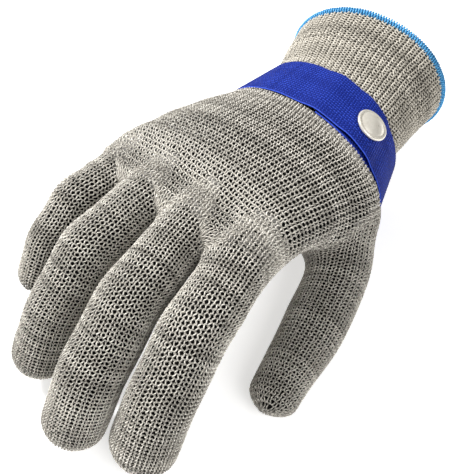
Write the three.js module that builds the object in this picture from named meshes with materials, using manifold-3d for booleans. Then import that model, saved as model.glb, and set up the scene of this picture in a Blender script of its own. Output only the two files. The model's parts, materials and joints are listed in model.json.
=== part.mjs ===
// A knitted steel-yarn cut glove for the right hand, standing palm down on its fingertips and cuff.
// Millimetres, +Z up. The fingers point to -Y, the cuff opens to +Y and the thumb is on the +X side.
// The knit is a 1.6 mm wall. The hand's own joints divide it: each finger is three hollow sleeves,
// the thumb is two, and the cuff bends against the palm under the wrist strap.
import * as THREE from 'three';
import { mergeVertices } from 'three/addons/utils/BufferGeometryUtils.js';
import Module from 'manifold-3d';

const wasm = await Module();
wasm.setup();

// ---- driving dimensions, in mm and degrees ----
const WALL = 1.6;
const GAP = 0.3;
const FINGER_SIDES = 16;
const PALM_SIDES = 32;
const PALM_SQUARENESS = 2.3;
const CUFF_SQUARENESS = 2;

// Half of each joint's travel, so two neighbouring sleeves open like a V on the side they close to.
const ROOT_CURL = 20;
const ROOT_LIFT = 13;
const MIDDLE_CURL = 21;
const MIDDLE_LIFT = 15;
const TIP_CURL = 14;
const TIP_LIFT = 10;
const THUMB_ROOT_CLOSE = 13;
const THUMB_ROOT_OPEN = 13;
const THUMB_TIP_CLOSE = 20;
const THUMB_TIP_OPEN = 8;
const WRIST_BEND = 7;

// The palm's cross-sections from the wrist to the finger roots: centre, half width, half thickness,
// yaw about the vertical and rise towards the cuff.
const PALM = [
  { at: [2, 13, 28.1], wide: 33.7, thick: 25.7, yaw: 12, rise: 2 },
  { at: [1.6, 0, 28.1], wide: 36.6, thick: 25.6, yaw: 12, rise: 2 },
  { at: [1.8, -13.5, 28.4], wide: 40.2, thick: 25.2, yaw: 12, rise: 2 },
  { at: [1.6, -29, 34.5], wide: 43, thick: 21.8, yaw: 8, rise: -12 },
  { at: [-1.2, -50, 42.5], wide: 43.4, thick: 17.4, yaw: 10, rise: -18 },
  { at: [-3, -70, 48.6], wide: 40.8, thick: 14.6, yaw: 12, rise: -12 },
  { at: [-4.4, -84.5, 49.6], wide: 38.4, thick: 12.2, yaw: 13, rise: -4 },
];

// The cuff's cross-sections from the strap to the rim.
const CUFF = [
  { at: [2, 13, 28.1], wide: 33.1, thick: 25.1, yaw: 12, rise: 2 },
  { at: [1.8, 20.5, 28.8], wide: 33.5, thick: 25.7, yaw: 8, rise: 4 },
  { at: [1, 35, 30.7], wide: 35.2, thick: 28.4, yaw: 3, rise: 6 },
  { at: [1.2, 50.5, 32.4], wide: 37.5, thick: 31, yaw: 0, rise: 6 },
];
const HEM_WIDTH = 2.6;
const HEM_THICKNESS = 2.6;

// Each finger: its root, heading from -Y, lean about its own length, downward pitch and length of its
// three sleeves, and the half width and half thickness at root, middle joint, end joint and tip.
const FINGERS = {
  index: {
    root: [25.7, -98.8, 46.8],
    heading: 4.5,
    lean: 9.5,
    pitch: [11, 47, 65],
    length: [19.2, 24.5, 15.5],
    wide: [10.8, 11.3, 11.5, 11.7],
    thick: [11.6, 11.2, 11.4, 11.7],
  },
  middle: {
    root: [4.2, -96.6, 49],
    heading: 0,
    lean: 7.5,
    pitch: [11.5, 44.5, 60],
    length: [22.8, 28, 16.2],
    wide: [10, 10.9, 11.1, 11],
    thick: [11.8, 11.4, 11.2, 11],
  },
  ring: {
    root: [-16.8, -91.3, 49],
    heading: -9,
    lean: 5,
    pitch: [10, 46, 62],
    length: [19.2, 26, 16.2],
    wide: [10.1, 10.4, 10.3, 10.2],
    thick: [11.4, 10.8, 10.4, 10.2],
  },
  little: {
    root: [-34.6, -83.9, 48.2],
    heading: -15.5,
    lean: 3,
    pitch: [3, 43.5, 62],
    length: [12, 18.6, 13.6],
    wide: [8.8, 8.8, 8.5, 8.2],
    thick: [9.6, 9, 8.6, 8.2],
  },
};

// The thumb: the path inside the palm to its root, then its two sleeves.
const THUMB_PATH = [
  { at: [17, -16, 29], radius: 17 },
  { at: [30, -33, 26], radius: 15.5 },
];
const THUMB_ROOT = [42.6, -52, 18.9];
const THUMB_KNUCKLE = [45.8, -74.6, 12.6];
const THUMB_TIP = [47.4, -102.8, 9.3];
const THUMB_RADII = [12.2, 11.6, 9.3];

// The wrist strap: one inch webbing, angles round the wrist from the thumb side over the back.
const STRAP_WIDTH = 25.4;
const STRAP_THICKNESS = 1.1;
const STRAP_CLEARANCE = 0.5;
const STRAP_STEP = 5.625;
const FLAP_HINGE_ANGLE = 101.25;
const BAND_END_ANGLE = 438;
const FLAP_END_ANGLE = -28;
const FLAP_LIFT = 3.4;
const SNAP_ANGLE = 46;
const SNAP_OFFSET = -1.5;
const SNAP_CAP_RADIUS = 6.75;
const SNAP_POST_RADIUS = 1.8;
const TACK_ANGLES = { little_side: 190, thumb_side: 318 };

// ---- small helpers ----
const V = (p) => new THREE.Vector3(p[0], p[1], p[2]);
const rad = THREE.MathUtils.degToRad;
const tan = (degrees) => Math.tan(rad(degrees));

// A closed body from rings of points: skin between rings, then a fan at each end or a closed loop.
function skin(rings, closed) {
  const sides = rings[0].length;
  const positions = [];
  const index = [];
  for (const ring of rings) {
    for (const p of ring) positions.push(p.x, p.y, p.z);
  }
  const last = closed ? rings.length : rings.length - 1;
  for (let r = 0; r < last; r += 1) {
    const next = (r + 1) % rings.length;
    for (let s = 0; s < sides; s += 1) {
      const t = (s + 1) % sides;
      const a = r * sides + s;
      const b = r * sides + t;
      const c = next * sides + s;
      const d = next * sides + t;
      index.push(a, c, b, b, c, d);
    }
  }
  if (!closed) {
    for (const [r, flip] of [[0, false], [rings.length - 1, true]]) {
      const ring = rings[r];
      const middle = ring.reduce((sum, p) => sum.add(p), new THREE.Vector3()).divideScalar(sides);
      const centre = positions.length / 3;
      positions.push(middle.x, middle.y, middle.z);
      for (let s = 0; s < sides; s += 1) {
        const a = r * sides + s;
        const b = r * sides + ((s + 1) % sides);
        if (flip) index.push(centre, b, a);
        else index.push(centre, a, b);
      }
    }
  }
  const geometry = new THREE.BufferGeometry();
  geometry.setAttribute('position', new THREE.Float32BufferAttribute(positions, 3));
  geometry.setIndex(index);
  return outward(geometry);
}

// Turns a closed body inside out when its faces point inward.
function outward(geometry) {
  const p = geometry.attributes.position;
  const index = Array.from(geometry.index.array);
  let volume = 0;
  for (let i = 0; i < index.length; i += 3) {
    const [a, b, c] = [0, 1, 2].map((k) => new THREE.Vector3().fromBufferAttribute(p, index[i + k]));
    volume += a.dot(b.cross(c));
  }
  if (volume < 0) {
    for (let i = 0; i < index.length; i += 3) {
      [index[i], index[i + 1]] = [index[i + 1], index[i]];
    }
    geometry.setIndex(index);
  }
  return geometry;
}

// three.js geometry to a manifold solid and back, for joins and cuts.
function solid(geometry) {
  const bare = geometry.clone();
  bare.deleteAttribute('normal');
  bare.deleteAttribute('uv');
  const merged = mergeVertices(bare, 1e-4);
  return new wasm.Manifold(new wasm.Mesh({
    numProp: 3,
    vertProperties: new Float32Array(merged.attributes.position.array),
    triVerts: new Uint32Array(merged.index.array),
  }));
}

function fromSolid(body) {
  const mesh = body.getMesh();
  const geometry = new THREE.BufferGeometry();
  geometry.setAttribute('position', new THREE.Float32BufferAttribute(mesh.vertProperties, 3));
  geometry.setIndex(Array.from(mesh.triVerts));
  return geometry;
}

// One flat ring of points: a rounded rectangle or ellipse in the plane of two directions. The end cut
// moves points along the third direction by how far they lie above or below the middle.
function ringPoints(centre, side, up, along, wide, thick, sides, squareness, cut) {
  const ring = [];
  for (let k = 0; k < sides; k += 1) {
    const angle = (2 * Math.PI * k) / sides;
    const c = Math.cos(angle);
    const s = Math.sin(angle);
    const x = Math.sign(c) * Math.abs(c) ** (2 / squareness) * wide;
    const z = Math.sign(s) * Math.abs(s) ** (2 / squareness) * thick;
    const shift = cut ? cut(z) : 0;
    ring.push(centre.clone().addScaledVector(side, x).addScaledVector(up, z).addScaledVector(along, shift));
  }
  return ring;
}

// How far a V-shaped end is cut back, curling side below and lifting side above the hinge line.
const vCut = (curl, lift) => (z) => GAP / 2 + (z < 0 ? -z * tan(curl) : z * tan(lift));

// ---- palm, cuff and hem ----

// A section's own directions: side to the thumb, up to the back of the hand, along to the cuff.
function sectionFrame(list, n) {
  const turn = new THREE.Matrix4().makeRotationZ(rad(-list[n].yaw));
  turn.multiply(new THREE.Matrix4().makeRotationX(rad(list[n].rise)));
  const side = new THREE.Vector3().setFromMatrixColumn(turn, 0);
  const along = new THREE.Vector3().setFromMatrixColumn(turn, 1);
  const up = new THREE.Vector3().setFromMatrixColumn(turn, 2);
  return { centre: V(list[n].at), side, up, along };
}

function sectionRing(list, n, inset, squareness, cut) {
  const f = sectionFrame(list, n);
  const { wide, thick } = list[n];
  return ringPoints(f.centre, f.side, f.up, f.along, wide - inset, thick - inset, PALM_SIDES, squareness, cut);
}

const wristCut = vCut(WRIST_BEND, WRIST_BEND);
const palmRings = (inset) => PALM.map((s, n) => {
  const squareness = n < 3 ? CUFF_SQUARENESS : PALM_SQUARENESS;
  return sectionRing(PALM, n, inset, squareness, n === 0 ? (z) => -wristCut(z) : null);
});

// A finger's directions: side is its hinge axis, ahead(pitch) is its length at a downward pitch.
function fingerFrame(finger) {
  const forward = new THREE.Vector3(Math.sin(rad(finger.heading)), -Math.cos(rad(finger.heading)), 0);
  const level = new THREE.Vector3(Math.cos(rad(finger.heading)), Math.sin(rad(finger.heading)), 0);
  const side = level.applyAxisAngle(forward, rad(-finger.lean));
  const down = new THREE.Vector3().crossVectors(side, forward).normalize();
  const ahead = (pitch) => forward.clone()
    .multiplyScalar(Math.cos(rad(pitch)))
    .addScaledVector(down, Math.sin(rad(pitch)));
  const up = (pitch) => down.clone()
    .multiplyScalar(-Math.cos(rad(pitch)))
    .addScaledVector(forward, Math.sin(rad(pitch)));
  return { side, ahead, up };
}

// The four joint centres of a finger, and at each the mean pitch of the sleeves that meet there.
function fingerJoints(finger) {
  const frame = fingerFrame(finger);
  const points = [V(finger.root)];
  for (let k = 0; k < 3; k += 1) {
    points.push(points[k].clone().addScaledVector(frame.ahead(finger.pitch[k]), finger.length[k]));
  }
  const [a, b, c] = finger.pitch;
  return { frame, points, mean: [a, (a + b) / 2, (b + c) / 2, c] };
}

// One ring of a finger at joint k, cut back along the finger when a cut is given.
function fingerRing(finger, k, inset, cut, direction) {
  const { frame, points, mean } = fingerJoints(finger);
  const up = frame.up(mean[k]);
  const along = frame.ahead(mean[k]).multiplyScalar(direction);
  const wide = finger.wide[k] - inset;
  const thick = finger.thick[k] - inset;
  return ringPoints(points[k], frame.side, up, along, wide, thick, FINGER_SIDES, 2, cut);
}

// The stub that carries a finger, from inside the palm to the finger's root.
const STUB_LENGTH = 30;
const BORE_PAST = 9;
function fingerStub(finger, inset) {
  const { frame } = fingerJoints(finger);
  const outerEnd = fingerRing(finger, 0, inset, vCut(ROOT_CURL, ROOT_LIFT), -1);
  const ahead = frame.ahead(finger.pitch[0]);
  const end = inset ? outerEnd.map((p) => p.clone().addScaledVector(ahead, BORE_PAST)) : outerEnd;
  const level = new THREE.Vector3(-ahead.x, -ahead.y, 0).normalize();
  const start = fingerRing(finger, 0, inset, null, 1).map((p) => p.addScaledVector(level, STUB_LENGTH));
  return solid(skin([start, end], false));
}

// ---- the thumb ----
const thumbAim = V(THUMB_KNUCKLE).sub(V(THUMB_ROOT)).normalize();
const thumbEndAim = V(THUMB_TIP).sub(V(THUMB_KNUCKLE)).normalize();
const THUMB_AXIS_TILT = 25;

// The thumb bends about a nearly upright axis, so its V cuts open towards the fingers and away.
function thumbFrame(aim) {
  const upright = new THREE.Vector3(Math.sin(rad(THUMB_AXIS_TILT)), 0, Math.cos(rad(THUMB_AXIS_TILT)));
  const across = new THREE.Vector3().crossVectors(aim, upright).normalize();
  const axis = new THREE.Vector3().crossVectors(across, aim).normalize();
  if (across.x < 0) across.negate();
  return { axis, across };
}

function thumbRing(centre, aim, radius, cut, direction) {
  const { axis, across } = thumbFrame(aim);
  const along = aim.clone().multiplyScalar(direction);
  return ringPoints(centre, axis, across, along, radius, radius, FINGER_SIDES, 2, cut);
}

function thumbStub(inset) {
  const radii = [...THUMB_PATH.map((s) => s.radius), THUMB_RADII[0]].map((r) => r - inset);
  const points = [...THUMB_PATH.map((s) => V(s.at)), V(THUMB_ROOT)];
  const rings = points.map((p, n) => {
    const aim = n === points.length - 1 ? thumbAim : points[n + 1].clone().sub(points[n]).normalize();
    const cut = n === points.length - 1 ? vCut(THUMB_ROOT_CLOSE, THUMB_ROOT_OPEN) : null;
    return thumbRing(p, aim, radii[n], cut, -1);
  });
  if (inset) {
    rings.push(rings[rings.length - 1].map((p) => p.clone().addScaledVector(thumbAim, BORE_PAST)));
  }
  return solid(skin(rings, false));
}

// ---- the palm shell ----
function palmShell() {
  let outer = solid(skin(palmRings(0), false)).add(thumbStub(0));
  const innerRings = palmRings(WALL);
  const mouth = innerRings[0].map((p) => p.clone().add(new THREE.Vector3(0, BORE_PAST, 0)));
  const deepest = innerRings[innerRings.length - 1];
  deepest.forEach((p) => p.add(new THREE.Vector3(0, WALL, 0)));
  let inner = solid(skin([mouth, ...innerRings], false)).add(thumbStub(WALL));
  for (const finger of Object.values(FINGERS)) {
    outer = outer.add(fingerStub(finger, 0));
    inner = inner.add(fingerStub(finger, WALL));
  }
  return fromSolid(outer.subtract(inner));
}

// A hollow sleeve from matching outer and inner rings, open at both ends.
const sleeve = (outer, inner) => skin([...outer, ...inner.reverse()], true);

function cuffBody() {
  const cutStart = (n) => (n === 0 ? wristCut : null);
  const outer = CUFF.map((s, n) => sectionRing(CUFF, n, 0, CUFF_SQUARENESS, cutStart(n)));
  const inner = CUFF.map((s, n) => sectionRing(CUFF, n, WALL, CUFF_SQUARENESS, cutStart(n)));
  return sleeve(outer, inner);
}

function hemBody() {
  const n = CUFF.length - 1;
  const start = GAP;
  const end = GAP + HEM_WIDTH;
  const proud = (HEM_THICKNESS - WALL) / 2;
  const ring = (inset, along) => sectionRing(CUFF, n, inset, CUFF_SQUARENESS, () => along);
  const outer = [ring(0, start), ring(-proud, start + proud), ring(-proud, end - proud), ring(0, end)];
  const inner = [ring(WALL, start), ring(WALL + proud, start + proud), ring(WALL + proud, end - proud)];
  inner.push(ring(WALL, end));
  return sleeve(outer, inner);
}

// ---- the fingers ----
const CUTS = [
  [ROOT_CURL, ROOT_LIFT],
  [MIDDLE_CURL, MIDDLE_LIFT],
  [TIP_CURL, TIP_LIFT],
];

function fingerSleeve(finger, k) {
  const near = vCut(...CUTS[k]);
  const far = vCut(...CUTS[k + 1]);
  const rings = (inset) => [
    fingerRing(finger, k, inset, near, 1),
    fingerRing(finger, k + 1, inset, far, -1),
  ];
  return sleeve(rings(0), rings(WALL));
}

// A closed end: a hollow cap whose outer and inner domes each end in a point.
function cappedSleeve(start, startInner, centre, side, up, ahead, radius) {
  const steps = [0, 22, 44, 66, 84];
  const dome = (r) => steps.map((degrees) => {
    const around = r * Math.cos(rad(degrees));
    const middle = centre.clone().addScaledVector(ahead, r * Math.sin(rad(degrees)));
    return ringPoints(middle, side, up, ahead, around, around, FINGER_SIDES, 2, null);
  });
  return skin([...dome(radius - WALL).reverse(), startInner, start, ...dome(radius)], false);
}

function fingerTip(finger) {
  const { frame, points } = fingerJoints(finger);
  const cut = vCut(TIP_CURL, TIP_LIFT);
  const ahead = frame.ahead(finger.pitch[2]);
  const up = frame.up(finger.pitch[2]);
  const start = fingerRing(finger, 2, 0, cut, 1);
  const startInner = fingerRing(finger, 2, WALL, cut, 1);
  return cappedSleeve(start, startInner, points[3], frame.side, up, ahead, finger.wide[3]);
}

function thumbSleeve() {
  const mid = thumbAim.clone().add(thumbEndAim).normalize();
  const near = vCut(THUMB_ROOT_CLOSE, THUMB_ROOT_OPEN);
  const far = vCut(THUMB_TIP_CLOSE, THUMB_TIP_OPEN);
  const rings = (inset) => [
    thumbRing(V(THUMB_ROOT), thumbAim, THUMB_RADII[0] - inset, near, 1),
    thumbRing(V(THUMB_KNUCKLE), mid, THUMB_RADII[1] - inset, far, -1),
  ];
  return sleeve(rings(0), rings(WALL));
}

function thumbTip() {
  const mid = thumbAim.clone().add(thumbEndAim).normalize();
  const cut = vCut(THUMB_TIP_CLOSE, THUMB_TIP_OPEN);
  const start = thumbRing(V(THUMB_KNUCKLE), mid, THUMB_RADII[1], cut, 1);
  const startInner = thumbRing(V(THUMB_KNUCKLE), mid, THUMB_RADII[1] - WALL, cut, 1);
  const { axis, across } = thumbFrame(thumbEndAim);
  return cappedSleeve(start, startInner, V(THUMB_TIP), axis, across, thumbEndAim, THUMB_RADII[2]);
}

// ---- the wrist strap ----

// A point on one edge of the strap, at an angle round the wrist and lifted straight off the knit.
const STRAP_MIDDLE = 1;
function strapEdge(angle, towards, lift) {
  const from = sectionFrame(PALM, STRAP_MIDDLE);
  const to = sectionFrame(PALM, towards);
  const share = STRAP_WIDTH / 2 / from.centre.distanceTo(to.centre);
  const blend = (a, b) => a + (b - a) * share;
  const wide = blend(PALM[STRAP_MIDDLE].wide, PALM[towards].wide);
  const thick = blend(PALM[STRAP_MIDDLE].thick, PALM[towards].thick);
  const centre = from.centre.clone().lerp(to.centre, share);
  const side = from.side.clone().lerp(to.side, share).normalize();
  const up = from.up.clone().lerp(to.up, share).normalize();
  const c = Math.cos(rad(angle));
  const s = Math.sin(rad(angle));
  const power = 2 / CUFF_SQUARENESS;
  const x = Math.sign(c) * Math.abs(c) ** power * wide;
  const z = Math.sign(s) * Math.abs(s) ** power * thick;
  const normal = side.clone().multiplyScalar(c / wide).addScaledVector(up, s / thick).normalize();
  return centre.addScaledVector(side, x).addScaledVector(up, z).addScaledVector(normal, lift);
}

// A point under the strap, a distance along the wrist from its middle. The strap lies straight across.
function strapPoint(angle, along, lift) {
  const palmEdge = strapEdge(angle, STRAP_MIDDLE + 1, lift);
  const cuffEdge = strapEdge(angle, STRAP_MIDDLE - 1, lift);
  return palmEdge.lerp(cuffEdge, 0.5 + along / STRAP_WIDTH);
}

// Webbing laid round the wrist between two angles, lifted off the knit by a function of the angle.
function webbing(fromAngle, toAngle, liftAt) {
  const count = Math.max(2, Math.ceil(Math.abs(toAngle - fromAngle) / STRAP_STEP));
  const half = STRAP_WIDTH / 2;
  const rings = [];
  for (let n = 0; n <= count; n += 1) {
    const angle = fromAngle + ((toAngle - fromAngle) * n) / count;
    const low = liftAt(angle);
    const high = low + STRAP_THICKNESS;
    rings.push([
      strapPoint(angle, -half, low),
      strapPoint(angle, half, low),
      strapPoint(angle, half, high),
      strapPoint(angle, -half, high),
    ]);
  }
  return skin(rings, false);
}

// The flap's height over the knit: flat, up over the band's end, over the snap, then along the band.
const BAND_TOP = STRAP_CLEARANCE + STRAP_THICKNESS;
const FLAP_STEPS = [
  [180, STRAP_CLEARANCE],
  [90, STRAP_CLEARANCE],
  [79, BAND_TOP + 0.6],
  [SNAP_ANGLE + 16, BAND_TOP + 0.6],
  [SNAP_ANGLE + 9, FLAP_LIFT],
  [SNAP_ANGLE - 9, FLAP_LIFT],
  [SNAP_ANGLE - 16, BAND_TOP + 0.6],
  [-90, BAND_TOP + 0.6],
];
function flapLift(angle) {
  const n = FLAP_STEPS.findIndex(([a]) => a <= angle);
  const [a1, l1] = FLAP_STEPS[n - 1];
  const [a0, l0] = FLAP_STEPS[n];
  return l0 + ((l1 - l0) * (angle - a0)) / (a1 - a0);
}

// The snap stands square to the webbing under it, which slopes both round and along the wrist.
function snapStand() {
  const point = strapPoint(SNAP_ANGLE, SNAP_OFFSET, 0);
  const around = strapPoint(SNAP_ANGLE + 8, SNAP_OFFSET, 0).sub(strapPoint(SNAP_ANGLE - 8, SNAP_OFFSET, 0));
  const along = strapPoint(SNAP_ANGLE, 8, 0).sub(strapPoint(SNAP_ANGLE, -8, 0));
  const normal = around.cross(along).normalize();
  if (normal.z < 0) normal.negate();
  return { point, normal };
}
const snapBase = snapStand();

// A turned piece standing on the snap's axis, its profile measured out from the knit.
function turned(profile, sides) {
  const shape = new THREE.LatheGeometry(profile.map(([r, z]) => new THREE.Vector2(r, z)), sides);
  const stand = new THREE.Quaternion().setFromUnitVectors(new THREE.Vector3(0, 1, 0), snapBase.normal);
  shape.applyQuaternion(stand);
  shape.translate(snapBase.point.x, snapBase.point.y, snapBase.point.z);
  shape.deleteAttribute('normal');
  shape.deleteAttribute('uv');
  return outward(mergeVertices(shape, 1e-4));
}

const SNAP_SIDES = 24;
const hole = (radius) => turned([[0, -3], [radius, -3], [radius, 12], [0, 12]], SNAP_SIDES);
const drilled = (geometry, radius) => fromSolid(solid(geometry).subtract(solid(hole(radius))));

const hingeStart = FLAP_HINGE_ANGLE + 0.5;
const band = drilled(webbing(hingeStart, BAND_END_ANGLE, () => STRAP_CLEARANCE), SNAP_POST_RADIUS + GAP);
const flap = drilled(webbing(FLAP_HINGE_ANGLE, FLAP_END_ANGLE, flapLift), SNAP_POST_RADIUS + GAP);

const flapTop = FLAP_LIFT + STRAP_THICKNESS;
const capFoot = flapTop + 0.35;
const capProfile = [
  [0, flapTop - 1.6],
  [SNAP_POST_RADIUS, flapTop - 1.6],
  [SNAP_POST_RADIUS, capFoot],
  [SNAP_CAP_RADIUS - 0.5, capFoot],
  [SNAP_CAP_RADIUS, capFoot + 0.35],
  [SNAP_CAP_RADIUS - 0.3, capFoot + 0.9],
  [SNAP_CAP_RADIUS - 1.6, capFoot + 1.6],
  [SNAP_CAP_RADIUS - 3.6, capFoot + 2.15],
  [0, capFoot + 2.4],
];
const socketProfile = [
  [2.7, BAND_TOP + 0.85],
  [3.9, BAND_TOP + 0.85],
  [3.9, FLAP_LIFT - 0.6],
  [2.7, FLAP_LIFT - 0.6],
  [2.7, BAND_TOP + 0.85],
];
const studProfile = [
  [0, BAND_TOP + 0.3],
  [3.7, BAND_TOP + 0.3],
  [3.7, BAND_TOP + 0.55],
  [2, BAND_TOP + 0.55],
  [2.2, BAND_TOP + 0.85],
  [1.7, BAND_TOP + 1.15],
  [0, BAND_TOP + 1.15],
];
const eyeletProfile = [
  [0, 0.08],
  [2.4, 0.08],
  [2.4, 0.24],
  [SNAP_POST_RADIUS, 0.24],
  [SNAP_POST_RADIUS, BAND_TOP],
  [0, BAND_TOP],
];

// A raised bar of thread that sews the band to the knit.
function tack(angle) {
  const low = BAND_TOP + 0.2;
  const high = low + 0.8;
  const half = STRAP_WIDTH / 2 - 3;
  const rings = [-1.6, 0, 1.6].map((offset) => [
    strapPoint(angle + offset, -half, low),
    strapPoint(angle + offset, half, low),
    strapPoint(angle + offset, half, high),
    strapPoint(angle + offset, -half, high),
  ]);
  return skin(rings, false);
}

// ---- materials and assembly ----
const knit = new THREE.MeshStandardMaterial({ color: 0x9c978c, roughness: 0.7, metalness: 0.15 });
const ribKnit = new THREE.MeshStandardMaterial({ color: 0xb5ad9e, roughness: 0.8, metalness: 0.05 });
const hemYarn = new THREE.MeshStandardMaterial({ color: 0x3f9fd6, roughness: 0.75, metalness: 0 });
const strapBlue = new THREE.MeshStandardMaterial({ color: 0x1a2fae, roughness: 0.65, metalness: 0 });
const snapMetal = new THREE.MeshStandardMaterial({ color: 0xcfc8bb, roughness: 0.3, metalness: 0.9 });
const thread = new THREE.MeshStandardMaterial({ color: 0x16268c, roughness: 0.7, metalness: 0 });

const group = new THREE.Group();
function piece(name, geometry, material) {
  const mesh = new THREE.Mesh(geometry, material);
  mesh.name = name;
  group.add(mesh);
}

piece('palm_shell', palmShell(), knit);
piece('cuff', cuffBody(), ribKnit);
piece('cuff_hem', hemBody(), hemYarn);
for (const [name, finger] of Object.entries(FINGERS)) {
  piece(`${name}_proximal`, fingerSleeve(finger, 0), knit);
  piece(`${name}_middle`, fingerSleeve(finger, 1), knit);
  piece(`${name}_distal`, fingerTip(finger), knit);
}
piece('thumb_proximal', thumbSleeve(), knit);
piece('thumb_distal', thumbTip(), knit);
piece('wrist_strap', band, strapBlue);
piece('strap_flap', flap, strapBlue);
piece('snap_cap', turned(capProfile, SNAP_SIDES), snapMetal);
piece('snap_socket', turned(socketProfile, SNAP_SIDES), snapMetal);
piece('snap_stud', turned(studProfile, SNAP_SIDES), snapMetal);
piece('snap_eyelet', turned(eyeletProfile, SNAP_SIDES), snapMetal);
for (const [name, angle] of Object.entries(TACK_ANGLES)) {
  piece(`strap_tack_${name}`, tack(angle), thread);
}

// The origin is under the middle of the whole glove, on the surface it stands on.
const box = new THREE.Box3().setFromObject(group);
const middle = box.getCenter(new THREE.Vector3());
group.position.set(-middle.x, -middle.y, -box.min.z);
group.updateMatrixWorld(true);

export default group;
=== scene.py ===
import json
import math

import bpy
import numpy as np
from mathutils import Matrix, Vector


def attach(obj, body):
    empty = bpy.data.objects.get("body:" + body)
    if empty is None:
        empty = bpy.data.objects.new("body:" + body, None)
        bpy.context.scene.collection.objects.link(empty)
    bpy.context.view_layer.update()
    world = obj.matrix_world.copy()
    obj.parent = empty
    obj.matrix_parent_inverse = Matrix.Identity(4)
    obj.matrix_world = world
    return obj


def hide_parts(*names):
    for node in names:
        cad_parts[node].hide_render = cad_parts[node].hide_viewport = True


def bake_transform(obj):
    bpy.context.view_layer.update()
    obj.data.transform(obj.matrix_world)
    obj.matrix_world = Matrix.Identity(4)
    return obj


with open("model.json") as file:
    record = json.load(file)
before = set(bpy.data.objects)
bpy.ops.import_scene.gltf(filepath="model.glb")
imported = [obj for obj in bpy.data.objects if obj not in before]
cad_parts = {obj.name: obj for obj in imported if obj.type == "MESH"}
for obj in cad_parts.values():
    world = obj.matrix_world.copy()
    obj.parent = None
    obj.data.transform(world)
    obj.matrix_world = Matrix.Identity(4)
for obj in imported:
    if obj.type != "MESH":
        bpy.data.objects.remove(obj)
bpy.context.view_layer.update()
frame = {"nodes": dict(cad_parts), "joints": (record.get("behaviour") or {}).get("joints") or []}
MM = 0.001
TINY = 1e-9
SMALL = 1e-6
rng = np.random.default_rng(7)
joints = {j["name"]: j for j in frame["joints"]}


def joint_at(name):
    return np.array(joints[name]["pos_m"]) / MM


def joint_axis(name):
    axis = np.array(joints[name]["axis"], float)
    return axis / np.linalg.norm(axis)


def unit(v):
    """A direction, or each of many, at length one."""
    v = np.asarray(v, float)
    return v / np.maximum(np.linalg.norm(v, axis=-1, keepdims=True), TINY)


def add_object(name, data):
    obj = bpy.data.objects.new(name, data)
    bpy.context.scene.collection.objects.link(obj)
    return obj


# ---- camera: the view that fits the hand, the strap and the cuff rim ----
TARGET = joint_at("middle_root_bend") + np.array([2.46, 32.41, -22.43])
CAMERA_AZIMUTH = math.radians(33.15)
CAMERA_ELEVATION = math.radians(45.37)
CAMERA_DISTANCE = 268.2
LENS = 55.55
SENSOR_WIDTH = 36
NEAREST_SEEN = 0.01
level_back = np.array([math.sin(CAMERA_AZIMUTH), -math.cos(CAMERA_AZIMUTH), 0]) * math.cos(CAMERA_ELEVATION)
back = level_back + np.array([0, 0, math.sin(CAMERA_ELEVATION)])
camera_data = bpy.data.cameras.new("camera")
camera_data.lens = LENS
camera_data.sensor_width = SENSOR_WIDTH
camera_data.clip_start = NEAREST_SEEN
camera = add_object("camera", camera_data)
camera.location = Vector((TARGET + back * CAMERA_DISTANCE) * MM)
camera.rotation_euler = Vector(-back).to_track_quat("-Z", "Y").to_euler()
bpy.context.scene.camera = camera

# ---- the hand's sections, as the CAD has them ----
def sections(*rows):
    """Each section's place, half width, half thickness, and its yaw and rise in degrees."""
    return [dict(zip(("at", "wide", "thick", "yaw", "rise"), row)) for row in rows]


PALM = sections(
    ([2, 13, 28.1], 33.7, 25.7, 12, 2),
    ([1.6, 0, 28.1], 36.6, 25.6, 12, 2),
    ([1.8, -13.5, 28.4], 40.2, 25.2, 12, 2),
    ([1.6, -29, 34.5], 43, 21.8, 8, -12),
    ([-1.2, -50, 42.5], 43.4, 17.4, 10, -18),
    ([-3, -70, 48.6], 40.8, 14.2, 12, -12),
    ([-4.4, -84.5, 49.4], 38.2, 10.4, 13, -4),
)
CUFF = sections(
    ([2, 13, 28.1], 33.1, 25.1, 12, 2),
    ([1.8, 20.5, 28.8], 33.5, 25.7, 8, 4),
    ([1, 35, 30.7], 35.2, 28.4, 3, 6),
    ([1.2, 50.5, 32.4], 37.5, 31, 0, 6),
)
SHIFT = joint_at("cuff_bend") - np.array(PALM[0]["at"], float)

# ---- smooth tubes through the sections ----
STATION_STEP = 1.0
YARN_DEPTH = 0.85
OUTLINE_STEPS = 361
FAR_WEIGHT = 0.15


def spline(knots, values, at):
    """Smooth values at the places asked for, by a cubic through every knot."""
    knots = np.asarray(knots, float)
    values = np.asarray(values, float)
    step = np.diff(knots)
    slope = np.diff(values, axis=0) / step[:, None]
    tangent = np.vstack([slope[:1], slope])
    for n in range(1, len(step)):
        share = step[n] / (step[n] + step[n - 1])
        tangent[n] = slope[n - 1] * share + slope[n] * (1 - share)
    cell = np.clip(np.searchsorted(knots, at, side="right") - 1, 0, len(step) - 1)
    h = step[cell][:, None]
    t = (np.asarray(at, float)[:, None] - knots[cell][:, None]) / h
    a = values[cell]
    b = values[cell + 1]
    ta = tangent[cell] * h
    tb = tangent[cell + 1] * h
    return (
        a * (2 * t**3 - 3 * t**2 + 1)
        + ta * (t**3 - 2 * t**2 + t)
        + b * (3 * t**2 - 2 * t**3)
        + tb * (t**3 - t**2)
    )


def distances(line):
    """How far along a line of points each one is."""
    return np.concatenate([[0], np.cumsum(np.linalg.norm(np.diff(line, axis=0), axis=1))])


def section_frame(s):
    """A section's side, along and up directions: a yaw about the vertical, then a rise."""
    yaw = math.radians(-s["yaw"])
    rise = math.radians(s["rise"])
    side = np.array([math.cos(yaw), math.sin(yaw), 0])
    ahead = np.array([-side[1], side[0], 0])
    up = np.array([0, 0, 1])
    return side, ahead * math.cos(rise) + up * math.sin(rise), up * math.cos(rise) - ahead * math.sin(rise)


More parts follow.
